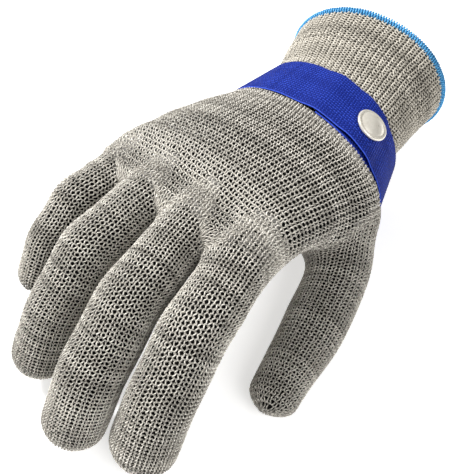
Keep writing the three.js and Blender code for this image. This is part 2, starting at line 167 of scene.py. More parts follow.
def tube(controls):
    """A tube as even stations. Each control is (centre, side, up, half width, half thickness, power)."""
    rows = np.array([np.hstack(c) for c in controls])
    knots = distances(rows[:, :3])
    count = int(math.ceil(knots[-1] / STATION_STEP)) + 1
    at = np.linspace(0, knots[-1], count)
    rows = spline(knots, rows, at)
    side = unit(rows[:, 3:6])
    up = rows[:, 6:9]
    up = unit(up - side * np.sum(up * side, axis=1, keepdims=True))
    return {
        "at": at, "knots": knots, "centre": rows[:, :3], "side": side, "up": up,
        "ahead": unit(np.gradient(rows[:, :3], axis=0)),
        "wide": rows[:, 9], "thick": rows[:, 10], "power": rows[:, 11],
    }


def outline(wide, thick, power, columns):
    """Points round a rounded rectangle at even spacing, starting on the side axis."""
    angle = np.linspace(0, 2 * math.pi, OUTLINE_STEPS)
    c = np.cos(angle)
    s = np.sin(angle)
    x = np.sign(c) * np.abs(c) ** (2 / power) * wide
    z = np.sign(s) * np.abs(s) ** (2 / power) * thick
    run = np.concatenate([[0], np.cumsum(np.hypot(np.diff(x), np.diff(z)))])
    at = np.linspace(0, run[-1], columns, endpoint=False)
    return np.interp(at, run, x), np.interp(at, run, z), run[-1]


def tube_grid(t, columns):
    """The tube's surface as stations by columns, and each station's length round."""
    points = np.empty((len(t["at"]), columns, 3))
    around = np.empty(len(t["at"]))
    for k in range(len(t["at"])):
        x, z, around[k] = outline(t["wide"][k], t["thick"][k], t["power"][k], columns)
        points[k] = t["centre"][k] + x[:, None] * t["side"][k] + z[:, None] * t["up"][k]
    return points, around


def depth(t, p):
    """About how far points are outside a tube, negative inside."""
    rel = p[:, None, :] - t["centre"][None, :, :]
    along = np.einsum("nkc,kc->nk", rel, t["ahead"])
    far = np.linalg.norm(rel, axis=2)
    k = np.argmin(np.abs(along) + FAR_WEIGHT * far, axis=1)
    rows = np.arange(len(p))
    offset = np.clip(along[rows, k], -STATION_STEP, STATION_STEP) / STATION_STEP
    other = np.clip(k + np.sign(offset).astype(int), 0, len(t["at"]) - 1)
    share = np.abs(offset)

    def mixed(values):
        w = share if values.ndim == 1 else share[:, None]
        return values[k] * (1 - w) + values[other] * w

    ahead, side, up = (unit(mixed(t[key])) for key in ("ahead", "side", "up"))
    wide, thick, power = (mixed(t[key]) for key in ("wide", "thick", "power"))
    q = p - mixed(t["centre"])
    x = np.maximum(np.abs(np.sum(q * side, axis=1)) / wide, SMALL)
    z = np.maximum(np.abs(np.sum(q * up, axis=1)) / thick, SMALL)
    f = (x**power + z**power) ** (1 / power)
    steep = f ** (1 - power) * np.hypot(x ** (power - 1) / wide, z ** (power - 1) / thick)
    radial = (f - 1) / np.maximum(steep, SMALL)
    beyond = np.abs(np.sum(q * ahead, axis=1)) - STATION_STEP
    ends = (k == 0) | (k == len(t["at"]) - 1)
    return np.where(ends, np.maximum(radial, beyond), radial)


def soft_min(a, b, width):
    """The smaller of two distances, rounded off where they are within a width of each other."""
    h = np.maximum(width - np.abs(a - b), 0) / width
    return np.minimum(a, b) - h * h * width / 4


def section_centre(s):
    return np.array(s["at"], float) + SHIFT


def section_control(s, power, drawn_in):
    """A section as a tube control, drawn in from the outer face to the middle of the yarn."""
    side, _, up = section_frame(s)
    return section_centre(s), side, up, s["wide"] - drawn_in, s["thick"] - drawn_in, power


# ---- the palm and its rounded front ----
PALM_POWER = 2.3
ROUND = 2.0
START_UNDER_STRAP = 3.0
STRAP_SQUEEZE = 0.35
PALM_UNDER_STRAP = 3
CUFF_UNDER_STRAP = 2
# Past the last section: how far ahead, half width and half thickness.
NOSE = [(2.2, 37.0, 8.4), (4.4, 33.5, 5.2), (5.8, 29.0, 2.0)]


def with_midpoints(rows):
    """The same controls with one halfway between each two, so that the tube runs straight between them."""
    out = []
    for a, b in zip(rows[:-1], rows[1:]):
        out += [a, tuple((np.asarray(x) + np.asarray(y)) / 2 for x, y in zip(a, b))]
    return out + [rows[-1]]


def squeezed(parts, under, power):
    """Tube controls from sections, of which the first few lie round and squeezed under the strap."""
    rows = []
    for n, s in enumerate(parts):
        drawn_in = YARN_DEPTH + (STRAP_SQUEEZE if n < under else 0)
        rows.append(section_control(s, ROUND if n < under else power, drawn_in))
    return with_midpoints(rows)


def palm_tube():
    """The palm and back of the hand, from under the strap to past the knuckles."""
    rows = squeezed(PALM, PALM_UNDER_STRAP, PALM_POWER)
    side, along, up = section_frame(PALM[-1])
    last = section_centre(PALM[-1])
    for ahead, wide, thick in NOSE:
        rows.append((last - along * ahead, side, up, wide, thick, PALM_POWER))
    return tube(rows)


# ---- the fingers ----
# Heading, lean, the sleeves' pitches, the last sleeve's length, then the half widths and the half
# thicknesses at the three joints and the tip.
FINGERS = {
    "index": (4.5, 9.5, [11, 47, 65], 15.5, [10.8, 11.3, 11.5, 11.7], [11.6, 11.2, 11.4, 11.7]),
    "middle": (0, 7.5, [11.5, 44.5, 60], 16.2, [10, 10.9, 11.1, 11], [11.8, 11.4, 11.2, 11]),
    "ring": (-9, 5, [10, 46, 62], 16.2, [10.1, 10.4, 10.3, 10.2], [11.4, 10.8, 10.4, 10.2]),
    "little": (-15.5, 3, [3, 43.5, 62], 13.6, [8.8, 8.8, 8.5, 8.2], [9.6, 9, 8.6, 8.2]),
}
STUB_BACK = 20.0
STUB_MIDDLE = 0.45
TIP_FLATNESS = 3.2
TIP_SHARES = (0.25, 0.5, 0.7, 0.85, 0.95, 1.0)
TIP_NARROWEST = 0.12
TIP_THINNEST = 0.1


def turned(v, axis, angle):
    """v turned about an axis, in radians."""
    c = math.cos(angle)
    s = math.sin(angle)
    return v * c + np.cross(axis, v) * s + axis * np.dot(axis, v) * (1 - c)


def tip_rows(centre, ahead, side, up, wide, thick):
    """A closed end like a small pillow: its thickness closes before its width does."""
    rows = []
    for share in TIP_SHARES:
        narrow = max(1 - share**TIP_FLATNESS, TIP_NARROWEST)
        thin = max(math.sqrt(max(1 - share * share, 0)), TIP_THINNEST)
        rows.append((centre + ahead * thick * share, side, up, wide * narrow, thick * thin, ROUND))
    return rows


def finger_tube(name):
    """One finger's tube from inside the palm to its tip, its joint points and its lengths at them."""
    heading, lean, pitches, last, wide, thick = FINGERS[name]
    heading = math.radians(heading)
    forward = np.array([math.sin(heading), -math.cos(heading), 0])
    level = np.array([math.cos(heading), math.sin(heading), 0])
    side = turned(level, forward, math.radians(-lean))
    down = unit(np.cross(side, forward))
    points = [joint_at(f"{name}_{j}_bend") for j in ("root", "middle", "tip")]
    aims = [forward * math.cos(p) + down * math.sin(p) for p in map(math.radians, pitches)]
    points.append(points[2] + aims[2] * last)
    wide, thick = ([size - YARN_DEPTH for size in sizes] for sizes in (wide, thick))

    def upward(aim):
        return unit(np.cross(aim, side))

    rows = []
    for share in (1, STUB_MIDDLE):
        place = points[0] - forward * STUB_BACK * share
        rows.append((place, side, upward(forward), wide[0], thick[0], ROUND))
    means = [aims[0], unit(aims[0] + aims[1]), unit(aims[1] + aims[2]), aims[2]]
    for k in range(4):
        rows.append((points[k], side, upward(means[k]), wide[k], thick[k], ROUND))
        if k < 3:
            middle = (points[k] + points[k + 1]) / 2
            wide_here = (wide[k] + wide[k + 1]) / 2
            thick_here = (thick[k] + thick[k + 1]) / 2
            rows.append((middle, side, upward(aims[k]), wide_here, thick_here, ROUND))
    rows += tip_rows(points[3], aims[2], side, upward(aims[2]), wide[3], thick[3])
    t = tube(rows)
    stops = [t["knots"][row] for row in (2, 4, 6, 8)]
    return t, points, aims, stops


# ---- the thumb: round all the way, with two places inside the palm and their radii ----
THUMB_INSIDE = [([17, -16, 29], 17.0), ([30, -33, 26], 15.5)]
THUMB_TIP = [47.4, -102.8, 9.3]
THUMB_RADII = [12.2, 11.6, 9.3]


def thumb_tube():
    """The thumb's tube from inside the palm to its tip, its points, directions and lengths at its joints."""
    points = [np.array(p, float) + SHIFT for p, r in THUMB_INSIDE]
    radii = [r - YARN_DEPTH for p, r in THUMB_INSIDE]
    points += [joint_at("thumb_root_bend"), joint_at("thumb_tip_bend"), np.array(THUMB_TIP, float) + SHIFT]
    radii += [r - YARN_DEPTH for r in THUMB_RADII]
    ends = unit(np.diff(np.array(points), axis=0))
    upright = joint_axis("thumb_root_bend")
    rows = []
    for k, (point, radius) in enumerate(zip(points, radii)):
        aim = unit(ends[max(k - 1, 0)] + ends[min(k, len(ends) - 1)])
        side = unit(np.cross(aim, upright))
        if side[0] < 0:
            side = -side
        up = unit(np.cross(aim, side))
        if up[2] < 0:
            up = -up
        rows.append((point, side, up, radius, radius, ROUND))
    side, up = rows[-1][1], rows[-1][2]
    rows += tip_rows(points[-1], ends[-1], side, up, radii[-1], radii[-1])
    t = tube(rows)
    stops = [t["knots"][row] for row in (2, 3, 4)]
    return t, points, ends, stops


# ---- places on a surface ----
LAST_CELL = 1.001


def sample(grid, station, share):
    """Places on a grid of stations by columns, at fractional stations and shares of the way round."""
    rows, columns = grid.shape[:2]
    u = np.clip(station, 0, rows - LAST_CELL)
    v = (share % 1.0) * columns
    i = u.astype(int)
    j = v.astype(int) % columns
    fu = (u - i)[:, None]
    fv = (v - np.floor(v))[:, None]
    j1 = (j + 1) % columns
    here = grid[i, j] * (1 - fv) + grid[i, j1] * fv
    there = grid[i + 1, j] * (1 - fv) + grid[i + 1, j1] * fv
    return here * (1 - fu) + there * fu


def grid_normals(grid, centre):
    """Outward directions on a closed grid."""
    along = np.gradient(grid, axis=0)
    around = (np.roll(grid, -1, axis=1) - np.roll(grid, 1, axis=1)) / 2
    n = unit(np.cross(around, along))
    out = np.sum(n * (grid - centre[:, None, :]), axis=2).mean()
    return n if out > 0 else -n


def round_quads(rows, columns):
    """Quads between each two neighbouring rings of a closed grid."""
    i = np.arange(rows - 1)[:, None]
    j = np.arange(columns)[None, :]
    a = (i * columns + j).ravel()
    b = (i * columns + (j + 1) % columns).ravel()
    return np.stack([a, b, b + columns, a + columns], axis=1)


def ring_edges(row, columns):
    """The first and the last point of each edge of one ring."""
    places = np.arange(columns)
    return row * columns + places, row * columns + (places + 1) % columns


def end_fans(rows, columns):
    """Triangles that close a grid's two ends, to two centre points that follow its rings."""
    fans = []
    for row, centre, flip in ((0, rows * columns, False), (rows - 1, rows * columns + 1, True)):
        e, f = ring_edges(row, columns)
        if flip:
            e, f = f, e
        fans.append(np.stack([np.full(columns, centre), f, e, np.full(columns, -1)], axis=1))
    return np.vstack(fans)


class Yarns:
    """Collects yarn runs and turns them into one mesh of fine round tubes."""

    SIDES = 5

    def __init__(self):
        self.vertices = []
        self.faces = []
        self.places = []
        self.shades = []
        self.count = 0

    def add(self, path, normal, radius, closed, shade):
        """One yarn through the points of a path; normal keeps its sides from twisting."""
        count = len(path)
        if closed:
            ahead = unit(np.roll(path, -1, axis=0) - np.roll(path, 1, axis=0))
        else:
            ahead = unit(np.gradient(path, axis=0))
        across = unit(np.cross(ahead, normal))
        upward = np.cross(across, ahead)
        angle = np.arange(self.SIDES) * 2 * math.pi / self.SIDES
        c = np.cos(angle)[None, :, None]
        s = np.sin(angle)[None, :, None]
        radius = np.broadcast_to(np.asarray(radius, float), (count,))[:, None, None]
        ring = path[:, None, :] + radius * (c * upward[:, None, :] + s * across[:, None, :])
        place = np.empty((count, self.SIDES, 3))
        place[:, :, 0] = distances(path)[:, None]
        place[:, :, 1] = c[:, :, 0]
        place[:, :, 2] = s[:, :, 0]
        total = count * self.SIDES
        quads = round_quads(count + 1 if closed else count, self.SIDES) % total
        self.collect(ring.reshape(-1, 3), quads, place.reshape(-1, 3), shade)

    def collect(self, vertices, faces, places, shade):
        self.vertices.append(vertices)
        self.faces.append(faces + self.count)
        self.places.append(places)
        self.shades.append(np.full(len(vertices), shade))
        self.count += len(vertices)

    def make(self, name, materials, slots=None):
        """All that was collected, as one object."""
        attributes = {"yarn": np.vstack(self.places), "shade": np.concatenate(self.shades)}
        return build(name, np.vstack(self.vertices), np.vstack(self.faces), materials, slots, attributes)


def build(name, vertices, faces, materials, slots=None, attributes=None):
    """One smooth mesh object from arrays in millimetres. A face is a quad, or a triangle ending in -1."""
    mesh = bpy.data.meshes.new(name)
    vertices = np.asarray(vertices, float) * MM
    faces = np.asarray(faces, int)
    sizes = np.where(faces[:, 3] < 0, 3, 4)
    flat = faces.reshape(-1)
    flat = flat[flat >= 0]
    mesh.vertices.add(len(vertices))
    mesh.vertices.foreach_set("co", vertices.astype(np.float32).ravel())
    mesh.loops.add(len(flat))
    mesh.loops.foreach_set("vertex_index", flat.astype(np.int32))
    mesh.polygons.add(len(faces))
    starts = np.concatenate([[0], np.cumsum(sizes)[:-1]])
    mesh.polygons.foreach_set("loop_start", starts.astype(np.int32))
    if slots is not None:
        mesh.polygons.foreach_set("material_index", np.asarray(slots, np.int32))
    mesh.polygons.foreach_set("use_smooth", np.full(len(faces), True))
    for key, values in (attributes or {}).items():
        kind, field = ("FLOAT", "value") if values.ndim == 1 else ("FLOAT_VECTOR", "vector")
        layer = mesh.attributes.new(key, kind, "POINT")
        layer.data.foreach_set(field, values.astype(np.float32).ravel())
    for m in materials:
        mesh.materials.append(m)
    mesh.update(calc_edges=True)
    return add_object(name, mesh)


# ---- materials ----
def material(name):
    m = bpy.data.materials.new(name)
    m.use_nodes = True
    return m, m.node_tree, m.node_tree.nodes["Principled BSDF"]


def set_inputs(node, values):
    for key, value in values.items():
        node.inputs[key].default_value = value


def math_node(tree, operation, *values):
    """A math node's result from numbers or from other nodes' results."""
    n = tree.nodes.new("ShaderNodeMath")
    n.operation = operation
    for socket, value in zip(n.inputs, values):
        if isinstance(value, (int, float)):
            socket.default_value = value
        else:
            tree.links.new(value, socket)
    return n.outputs[0]


def weighted(tree, parts):
    """The sum of values, each times its weight."""
    total = None
    for value, weight in parts:
        term = math_node(tree, "MULTIPLY", value, weight)
        total = term if total is None else math_node(tree, "ADD", total, term)
    return total


def ramp(tree, value, stops, target):
    """Gives an input colours blended between stops, each a level and a colour."""
    n = tree.nodes.new("ShaderNodeValToRGB")
    tree.links.new(value, n.inputs["Fac"])
    points = n.color_ramp.elements
    while len(points) < len(stops):
        points.new(0.5)
    for point, (at, colour) in zip(points, stops):
        point.position = at
        point.color = (*colour, 1)
    tree.links.new(n.outputs["Color"], target)


def texture(tree, kind, values):
    """A texture in the piece's own space. Scale is in specks to a metre."""
    n = tree.nodes.new(kind)
    set_inputs(n, values)
    tree.links.new(tree.nodes.new("ShaderNodeTexCoord").outputs["Object"], n.inputs["Vector"])
    return n.outputs


def noise(tree, scale, detail):
    return texture(tree, "ShaderNodeTexNoise", {"Scale": scale, "Detail": detail})["Fac"]


def attribute(tree, name):
    n = tree.nodes.new("ShaderNodeAttribute")
    n.attribute_name = name
    return n.outputs


def parts_of(tree, name):
    """The three parts of a vector that the mesh holds at each point."""
    split = tree.nodes.new("ShaderNodeSeparateXYZ")
    tree.links.new(attribute(tree, name)["Vector"], split.inputs[0])
    return split.outputs


def bump(tree, shader, height, strength, distance, invert=False):
    """Fine relief under the mesh's own detail."""
    n = tree.nodes.new("ShaderNodeBump")
    n.invert = invert
    set_inputs(n, {"Strength": strength, "Distance": distance})
    tree.links.new(height, n.inputs["Height"])
    tree.links.new(n.outputs["Normal"], shader.inputs["Normal"])


def yarn_material(name, dark, middle, light, twist, roughness, fleck=0):
    """Twisted yarn: two plies winding round it, stray fibres, shade from yarn to yarn and bright flecks."""
    m, tree, shader = material(name)
    run, c, s = parts_of(tree, "yarn")
    phase = math_node(tree, "MULTIPLY", run, twist)
    squares = [(math_node(tree, "MULTIPLY", part, part), sign) for part, sign in ((c, 1), (s, -1))]
    double_c = weighted(tree, squares)
    double_s = math_node(tree, "MULTIPLY", math_node(tree, "MULTIPLY", c, s), 2)
    turns = [(double_c, math_node(tree, "COSINE", phase)), (double_s, math_node(tree, "SINE", phase))]
    ply = math_node(tree, "MULTIPLY_ADD", weighted(tree, turns), 0.5, 0.5)
    fibre = noise(tree, scale=2600, detail=3)
    patch = noise(tree, scale=90, detail=2)
    shade = attribute(tree, "shade")["Fac"]
    level = weighted(tree, [(ply, 0.34), (fibre, 0.4), (patch, 0.08), (shade, 0.12)])
    ramp(tree, level, [(0.25, dark), (0.46, middle), (0.69, light)], shader.inputs["Base Color"])
    if fleck > 0:
        spark = noise(tree, scale=1500, detail=1)
        ramp(tree, spark, [(0.6, (0, 0, 0)), (0.68, (fleck,) * 3)], shader.inputs["Metallic"])
    set_inputs(shader, {"Roughness": roughness, "Specular IOR Level": 0.35})
    bump(tree, shader, weighted(tree, [(ply, 1), (fibre, 0.8)]), strength=0.5, distance=0.00012)
    return m


def painted_shade_material(name, dark, light):
    """Painted shade for the hollow glove seen through the loops: near black with a little yarn colour."""
    m, tree, shader = material(name)
    speck = noise(tree, scale=700, detail=3)
    ramp(tree, speck, [(0.35, dark), (0.75, light)], shader.inputs["Base Color"])
    set_inputs(shader, {"Roughness": 0.9, "Specular IOR Level": 0.1})
    return m


def lining_material(name, low, high):
    """The inside of the knit: close purl bumps, with painted shade in the hollows between them."""
    m, tree, shader = material(name)
    hollow = texture(tree, "ShaderNodeTexVoronoi", {"Scale": 520})["Distance"]
    speck = noise(tree, scale=900, detail=3)
    # Painted shade: the colour darkens where the bumps dip into hollows.
    level = math_node(tree, "ADD", weighted(tree, [(speck, 0.5), (hollow, -0.5)]), 0.5)
    ramp(tree, level, [(0.3, low), (0.75, high)], shader.inputs["Base Color"])
    shader.inputs["Roughness"].default_value = 0.85
    bump(tree, shader, hollow, strength=0.8, distance=0.0005, invert=True)
    return m


def webbing_material():
    """Blue webbing: lighter gaps between dark threads, with fine filaments and slight patches."""
    m, tree, shader = material("webbing")
    height = parts_of(tree, "weave")[0]
    fibre = noise(tree, scale=2200, detail=3)
    patch = noise(tree, scale=120, detail=2)
    level = weighted(tree, [(height, 0.8), (fibre, 0.15), (patch, 0.06)])
    stops = [(0.46, (0.04, 0.09, 0.6)), (0.6, (0.002, 0.009, 0.13)), (0.92, (0.006, 0.022, 0.23))]
    ramp(tree, level, stops, shader.inputs["Base Color"])
    set_inputs(shader, {"Roughness": 0.7, "Specular IOR Level": 0.15})
    bump(tree, shader, fibre, strength=0.35, distance=0.0001)
    return m


def snap_material():
    """Satin nickel with fine scratches and a little handling haze."""
    m, tree, shader = material("snap_metal")
    scratch = noise(tree, scale=1400, detail=5)
    level = weighted(tree, [(noise(tree, scale=160, detail=4), 0.6), (scratch, 0.4)])
    ramp(tree, level, [(0.3, (0.72, 0.67, 0.57)), (0.7, (0.92, 0.88, 0.79))], shader.inputs["Base Color"])
    ramp(tree, level, [(0.3, (0.24,) * 3), (0.7, (0.4,) * 3)], shader.inputs["Roughness"])
    shader.inputs["Metallic"].default_value = 0.45
    bump(tree, shader, scratch, strength=0.12, distance=0.0001)
    return m


STEEL_YARN = yarn_material(
    "steel_yarn", (0.03, 0.028, 0.024), (0.44, 0.41, 0.356), (0.98, 0.94, 0.86),
    twist=3.6, roughness=0.4, fleck=0.3,
)
RIB_YARN = yarn_material(
    "rib_yarn", (0.09, 0.083, 0.07), (0.4, 0.37, 0.31), (0.76, 0.71, 0.62), twist=3.8, roughness=0.7
)
HEM_YARN = yarn_material(
    "hem_yarn", (0.015, 0.12, 0.3), (0.05, 0.3, 0.6), (0.2, 0.55, 0.85), twist=5.0, roughness=0.6
)
TACK_YARN = yarn_material(
    "tack_yarn", (0.004, 0.01, 0.12), (0.01, 0.03, 0.3), (0.05, 0.1, 0.5), twist=5.0, roughness=0.6
)
# Painted shade: near-black paints that stand in for the shade inside the hollow glove behind the loops.
KNIT_SHADE_PAINT = painted_shade_material("knit_painted_shade", (0.002, 0.0018, 0.0016), (0.008, 0.0075, 0.007))
RIB_SHADE_PAINT = painted_shade_material("rib_painted_shade", (0.012, 0.011, 0.01), (0.06, 0.055, 0.048))
LINING = lining_material("knit_lining", (0.09, 0.085, 0.078), (0.36, 0.345, 0.32))
RIB_LINING = lining_material("rib_lining", (0.16, 0.145, 0.125), (0.5, 0.47, 0.42))
WEBBING = webbing_material()
SNAP_METAL = snap_material()
STEEL_PAINTS = [STEEL_YARN, KNIT_SHADE_PAINT, LINING]
RIB_PAINTS = [RIB_YARN, RIB_SHADE_PAINT, RIB_LINING]


# ---- surfaces: the tubes joined softly where they meet ----
FINGER_JOIN = 6.0
THUMB_JOIN = 10.0
# How far into a neighbouring tube the sheet of painted shade goes on, then the loops on its back and in its
# valleys.
SHADE_SHEET_TUCK = 3.4
LOOP_TUCK = 0.9
VALLEY_TUCK = 3.2
NEAR_JOIN = 0.9
STRAP_WIDTH = 25.4
JOIN_START = 0.5
JOIN_LENGTH = 9.0
STRAP_PUFF = 2.1
PUFF_EDGE = 0.6
PUFF_LENGTH = 7.0
PALM_COLUMNS = 160
FINGER_COLUMNS = 64
PROBE = 0.25
JOIN_ROUNDS = 3
FLATTEST = 0.3
LONGEST_MOVE = 1.5


def swell(points):
    """Slow unevenness of worn knit, in millimetres outward."""
    x, y, z = points[..., 0], points[..., 1], points[..., 2]
    slow = np.sin(x / 7.3 + y / 11.0 + 1.3) * np.sin(y / 8.1 - z / 9.7 + 0.4)
    quick = np.sin(x / 4.1 - y / 5.3 + z / 6.1)
    return 0.22 * slow + 0.1 * quick


def join(points, own, others):
    """Moves points of one tube out to the soft union with the others."""
    moved = points.copy()
    near = np.zeros(len(points), bool)
    for t, width in others:
        near |= depth(t, points) < width
    if not near.any():
        return moved
    p = points[near]
    probes = np.vstack([np.zeros(3), np.eye(3) * PROBE])
    for _ in range(JOIN_ROUNDS):
        values = []
        for probe in probes:
            d = depth(own, p + probe)
            for t, width in others:
                d = soft_min(d, depth(t, p + probe), width)
            values.append(d)
        gradient = np.stack([(v - values[0]) / PROBE for v in values[1:]], axis=1)
        size = np.maximum(np.sum(gradient**2, axis=1), FLATTEST)
        p = p - np.clip(values[0] / size, -LONGEST_MOVE, LONGEST_MOVE)[:, None] * gradient
    moved[near] = p
    return moved


def past_strap(points):
    """How far points are past the strap's edge towards the fingers."""
    along = section_frame(PALM[1])[1]
    return -np.sum((points - section_centre(PALM[1])) * along, axis=-1) - STRAP_WIDTH / 2


def smooth_step(x):
    """From 0 to 1 as x does, level at both ends."""
    x = np.clip(x, 0, 1)
    return x * x * (3 - 2 * x)


def surface(t, columns, others=()):
    """A tube's surface joined to the others, its outward directions, and where its sheet of painted shade
    and its loops go.

    The join fades out under the strap, and the knit puffs up beside the strap that squeezes it.
    """
    grid, around = tube_grid(t, columns)
    flat = grid.reshape(-1, 3)
    inside = np.full(len(flat), np.inf)
    for other, width in others:
        inside = np.minimum(inside, depth(other, flat))
    inside = inside.reshape(grid.shape[:2])
    facing_up = np.abs(np.sum(grid_normals(grid, t["centre"]) * t["up"][:, None, :], axis=2))
    tuck = VALLEY_TUCK + (LOOP_TUCK - VALLEY_TUCK) * facing_up
    if others:
        free = smooth_step((past_strap(flat) - JOIN_START) / JOIN_LENGTH)[:, None]
        flat = flat * (1 - free) + join(flat, t, others) * free
    grid = flat.reshape(grid.shape)
    normals = grid_normals(grid, t["centre"])
    past = past_strap(grid)
    rising = smooth_step((past + PUFF_EDGE) / (2 * PUFF_EDGE))
    falling = np.exp(-np.maximum(past - PUFF_EDGE, 0) / PUFF_LENGTH)
    grid = grid + normals * (swell(grid) + STRAP_PUFF * rising * falling)[..., None]
    return {
        "tube": t, "grid": grid, "normals": normals, "around": around, "step": t["at"][1] - t["at"][0],
        "shade_sheet_mask": inside > -SHADE_SHEET_TUCK, "near_join": inside < NEAR_JOIN,
        "loops": (inside > -tuck).astype(float)[..., None],
    }


# ---- knitted loops ----
# Shares of a loop's width: how far its legs slant, how far it reaches to the next courses and how far
# it rises. Ridge is how far each column stands proud, in millimetres.
PLAIN = {"slant": 0.21, "reach": 0.35, "rise": 0.17, "ridge": 0, "samples": 10}
CLOSE = {"slant": 0.22, "reach": 0.34, "rise": 0.15, "ridge": 0.12, "samples": 10}
RIB = {"slant": 0.1, "reach": 0.21, "rise": 0.04, "ridge": 0.4, "samples": 12}
# How unevenly loops lie round the course, reach, lie along the surface and stand up.
ROUND_WANDER = 0.035
REACH_WANDER = 0.03
COURSE_WANDER = 0.03
RISE_WANDER = 0.02
THICK_WAVE = 0.06
THICK_PACE = 0.37
TIP_LOOSENESS = 1.12
FEWEST_WALES = 6
SHORTEST_RUN = 4
END_TAPER = (0.1, 0.7)
SHADE_SHEET_THICKNESS = 0.35
# The slots of a knit's three materials: the yarn, the painted shade behind it and the lining.
YARN_SLOT, SHADE_SHEET_SLOT, LINING_SLOT = 0, 1, 2


def runs_of(kept):
    """Stretches of a closed run that are kept, as lists of places in order."""
    count = len(kept)
    if kept.all():
        return [(np.arange(count), True)]
    if not kept.any():
        return []
    first = int(np.argmin(kept))
    order = (np.arange(count) + first) % count
    inside = kept[order]
    edges = np.flatnonzero(np.diff(np.concatenate([[0], inside.astype(int), [0]])))
    return [(order[a:b], False) for a, b in zip(edges[::2], edges[1::2]) if b - a >= SHORTEST_RUN]


def length_round(s, where):
    """The length round a surface, at a distance along it."""
    return np.interp(where, s["tube"]["at"], s["around"])


def knit_course(yarns, s, where, wales, radius, stitch):
    """One course of loops round a surface, at a distance along it in millimetres."""
    samples = stitch["samples"]
    t = np.arange(wales * samples) * 2 * math.pi / samples
    width = length_round(s, where) / wales
    loop = np.floor(t / (2 * math.pi)).astype(int)
    wander = rng.normal(0, ROUND_WANDER, wales)[loop]
    share = (t / (2 * math.pi) + stitch["slant"] * np.sin(2 * t) + wander) / wales
    reach = stitch["reach"] * width * (1 + rng.normal(0, REACH_WANDER, wales)[loop])
    along = where / s["step"] - reach * np.cos(t) / s["step"] + rng.normal(0, COURSE_WANDER)
    base = sample(s["grid"], along, share)
    normal = unit(sample(s["normals"], along, share))
    rise = -stitch["rise"] * width * np.cos(2 * t) + stitch["ridge"] * np.cos(2 * math.pi * wales * share)
    path = base + normal * (rise + rng.normal(0, RISE_WANDER, wales)[loop])[:, None]
    kept = sample(s["loops"], along, share)[:, 0] > 0.5
    thick = radius * (1 + THICK_WAVE * np.sin(t * THICK_PACE + where))
    for places, closed in runs_of(kept):
        r = thick[places].copy()
        if not closed:
            r[[0, -1]] *= END_TAPER[0]
            r[[1, -2]] *= END_TAPER[1]
        yarns.add(path[places], normal[places], r, closed, rng.uniform(0, 1))


def painted_shade_sheet(s, low, high, gap):
    """A sheet of painted shade behind the loops, as an outer and an inner sheet closed at both ends."""
    first = max(int(round(low / s["step"])), 0)
    last = min(int(round(high / s["step"])), len(s["grid"]) - 1)
    part = slice(first, last + 1)
    grid = s["grid"][part]
    normals = s["normals"][part]
    rows, columns = grid.shape[:2]
    outer = (grid - normals * gap).reshape(-1, 3)
    inner = (grid - normals * (gap + SHADE_SHEET_THICKNESS)).reshape(-1, 3)
    kept = s["shade_sheet_mask"][part].ravel()
    quads = round_quads(rows, columns)
    quads = quads[kept[quads].all(axis=1)]
    back = quads[:, ::-1] + len(outer)
    rims = []
    for row, flip in ((0, False), (rows - 1, True)):
        e, f = ring_edges(row, columns)
        both = kept[e] & kept[f]
        rim = np.stack([e, e + len(outer), f + len(outer), f], axis=1)[both]
        rims.append(rim[:, ::-1] if flip else rim)
    faces = np.vstack([quads, back, *rims])
    # The outer side is painted shade, except near joins, where it takes the lining like the inner side and
    # the rims.
    lined = s["near_join"][part].ravel()[quads].any(axis=1)
    slots = np.full(len(faces), LINING_SLOT)
    slots[: len(quads)] = np.where(lined, LINING_SLOT, SHADE_SHEET_SLOT)
    return np.vstack([outer, inner]), faces, slots


def knit_piece(name, s, low, high, wales, radius, spacing, stitch, paints, gauge=None, dense_from=math.inf):
    """One knitted piece of a surface between two distances along it, with a sheet of painted shade behind.

    A gauge lets a closing end drop loops. Courses past dense_from are twice as close.
    """
    yarns = Yarns()
    first = math.ceil(low / spacing)
    last = math.ceil(high / spacing)
    courses = [n * spacing for n in range(first, last)]
    courses += [where + spacing / 2 for where in courses if dense_from < where < high - spacing / 2]
    for where in courses:
        loops = wales
        if gauge:
            fitting = round(length_round(s, where) / gauge * TIP_LOOSENESS)
            loops = int(min(wales, max(FEWEST_WALES, fitting)))
        knit_course(yarns, s, where, loops, radius, stitch)
    sheet, faces, slots = painted_shade_sheet(s, low, high, radius + stitch["rise"] * 2)
    slots = np.concatenate([np.full(len(np.vstack(yarns.faces)), YARN_SLOT), slots])
    yarns.collect(sheet, faces, np.zeros((len(sheet), 3)), shade=0.0)
    return yarns.make(name, paints, slots)


# ---- build the knit ----
# Loops round the palm and cuff, and the width of a finger's loop.
PALM_WALES = 70
CUFF_WALES = 60
FINGER_GAUGE = 2.4
# From one course to the next.
PALM_SPACING = 1.85
FINGER_SPACING = 1.3
CUFF_SPACING = 1.32
WEB_LENGTH = 5.0
# The yarns' radii.
PALM_YARN = 0.26
FINGER_YARN = 0.235
CUFF_YARN = 0.38
# Where the knit starts and stops short of a tube's ends, and where the cuff is divided.
KNIT_START = 0.5
FINGER_STOP = 0.2
PALM_STOP = 0.4
CUFF_STOP = 0.3
CUFF_SPLIT = 26.0

palm = palm_tube()
fingers = {name: finger_tube(name) for name in FINGERS}
thumb, thumb_points, thumb_aims, thumb_stops = thumb_tube()
cuff = tube(squeezed([PALM[1]] + CUFF, CUFF_UNDER_STRAP, ROUND))


def knit_finger(name, s, low, high, wales):
    """One piece of a finger or the thumb."""
    return knit_piece(
        name, s, low, high, wales, FINGER_YARN, FINGER_SPACING, PLAIN, STEEL_PAINTS, gauge=FINGER_GAUGE
    )


def bend_between(obj):
    """Bakes the piece's transform into its mesh; nothing bends it here."""
    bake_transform(obj)


